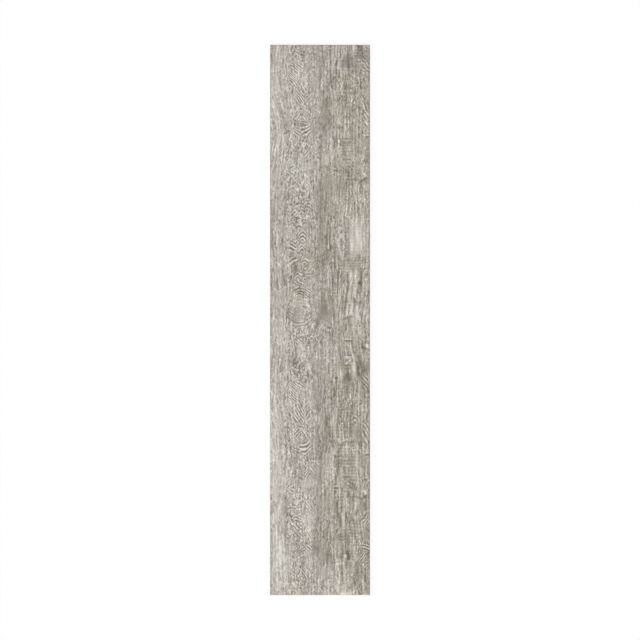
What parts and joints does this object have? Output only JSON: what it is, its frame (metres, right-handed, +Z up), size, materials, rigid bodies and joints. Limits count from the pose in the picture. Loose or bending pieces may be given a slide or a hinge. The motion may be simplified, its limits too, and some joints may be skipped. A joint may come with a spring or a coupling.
{
  "type": "floor tile",
  "caption": "Long plank floor tile of glazed porcelain with a grey wood-look face, ground edges with a fine bevel, and a keyed back of shallow cells for adhesive.",
  "frame": {"origin": "centre of the keyed back, on the plane that the tile's ribs and rim rest on", "axes": "+X across the plank, +Y along it, +Z up out of the glazed face"},
  "size_m": [0.2, 1.1, 0.0095],
  "materials": {
    "glazed_porcelain": "matte"
  },
  "bodies": {
    "root": {"tile": "glazed_porcelain"}
  },
  "joints": []
}
